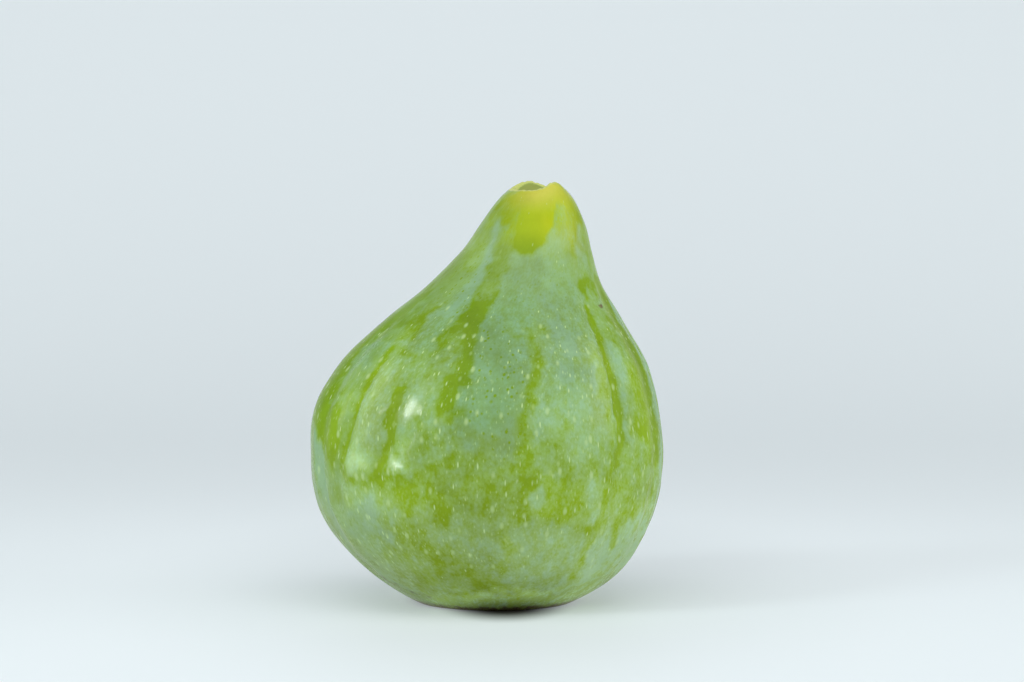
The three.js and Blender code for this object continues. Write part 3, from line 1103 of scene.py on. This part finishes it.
def card_mesh():
    """Floor, quarter-round sweep and wall: one profile carried along X."""
    turn = np.radians(np.linspace(0, 90, 24))
    floor = [CARD_FRONT, -600, -200]
    y = np.r_[floor, SWEEP_BEGIN + SWEEP_RADIUS * np.sin(turn)]
    z = np.r_[0, 0, 0, SWEEP_RADIUS * (1 - np.cos(turn))]
    y, z = np.r_[y, y[-1]], np.r_[z, WALL_TOP]
    x = np.linspace(-CARD_SIDE, CARD_SIDE, 7)
    grid = np.stack(np.broadcast_arrays(x[:, None], y[None, :], z[None, :]), axis=-1)
    n = np.arange(grid.shape[0] * grid.shape[1]).reshape(grid.shape[:2])
    faces = np.stack([n[:-1, :-1], n[1:, :-1], n[1:, 1:], n[:-1, 1:]], axis=-1).reshape(-1, 4)
    mesh = bpy.data.meshes.new("studio_card")
    mesh.from_pydata(grid.reshape(-1, 3) * MM, [], faces.tolist())
    mesh.shade_smooth()
    return mesh


# ---- operators and panel


class FIG_OT_grow_fruit(bpy.types.Operator):
    """Grow the fruit and its skin"""

    bl_idname = "fig.grow_fruit"
    bl_label = "Grow fruit"

    def execute(self, context):
        surface = Surface(context.scene.fig_form)
        mesh = fruit_mesh("fig_skin", surface.points())
        for name, grid in surface.layers().items():
            store(mesh, name, np.broadcast_to(grid, surface.shape + np.shape(grid)[2:]))
        mesh.materials.append(skin_material(context.scene.fig_look))
        fruit = bpy.data.objects.new("fig_skin", mesh)
        context.scene.collection.objects.link(fruit)
        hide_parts("fig")
        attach(fruit, "root")
        return {"FINISHED"}


class FIG_OT_set_stage(bpy.types.Operator):
    """Lay the pale card and set the lights and the camera"""

    bl_idname = "fig.set_stage"
    bl_label = "Set stage"

    def execute(self, context):
        scene = context.scene
        card = bpy.data.objects.new("studio_card", card_mesh())
        scene.collection.objects.link(card)
        card.data.materials.append(stage_material(scene.fig_stage))
        for name, (place, size, power, colour) in LIGHTS.items():
            light = bpy.data.lights.new(name, "AREA")
            light.shape = "RECTANGLE"
            light.size, light.size_y = np.array(size) * MM
            light.energy = power
            light.color = colour
            aimed(name, light, place, LIGHTS_AIM)
        world = bpy.data.worlds.new("studio")
        world.use_nodes = True
        sky = world.node_tree.nodes["Background"].inputs
        sky["Color"].default_value = SKY_COLOUR
        sky["Strength"].default_value = SKY_STRENGTH
        scene.world = world
        scene.view_settings.view_transform = "Standard"

        camera = bpy.data.cameras.new("camera")
        camera.lens = LENS
        camera.sensor_width = FRAME_WIDTH
        camera.clip_start = NEAREST * MM
        scene.camera = aimed("camera", camera, CAMERA_PLACE, CAMERA_AIM)
        return {"FINISHED"}


class FIG_PT_panel(bpy.types.Panel):
    """Lists the fruit's and the studio's settings"""

    bl_idname = "FIG_PT_panel"
    bl_label = "Fresh Fig"
    bl_space_type = "VIEW_3D"
    bl_region_type = "UI"
    bl_category = "Fig"

    def draw(self, context):
        scene = context.scene
        for group in (scene.fig_form, scene.fig_look, scene.fig_stage):
            box = self.layout.box()
            for name in group.__annotations__:
                box.prop(group, name)
        self.layout.operator(FIG_OT_grow_fruit.bl_idname)
        self.layout.operator(FIG_OT_set_stage.bl_idname)


CLASSES = (FigForm, FigLook, StageSettings, FIG_OT_grow_fruit, FIG_OT_set_stage, FIG_PT_panel)


def register():
    for cls in CLASSES:
        bpy.utils.register_class(cls)
    bpy.types.Scene.fig_form = PointerProperty(type=FigForm)
    bpy.types.Scene.fig_look = PointerProperty(type=FigLook)
    bpy.types.Scene.fig_stage = PointerProperty(type=StageSettings)


def unregister():
    del bpy.types.Scene.fig_stage, bpy.types.Scene.fig_look, bpy.types.Scene.fig_form
    for cls in reversed(CLASSES):
        bpy.utils.unregister_class(cls)


def main():
    register()
    bpy.ops.fig.grow_fruit()
    bpy.ops.fig.set_stage()


if __name__ == "__main__":
    main()
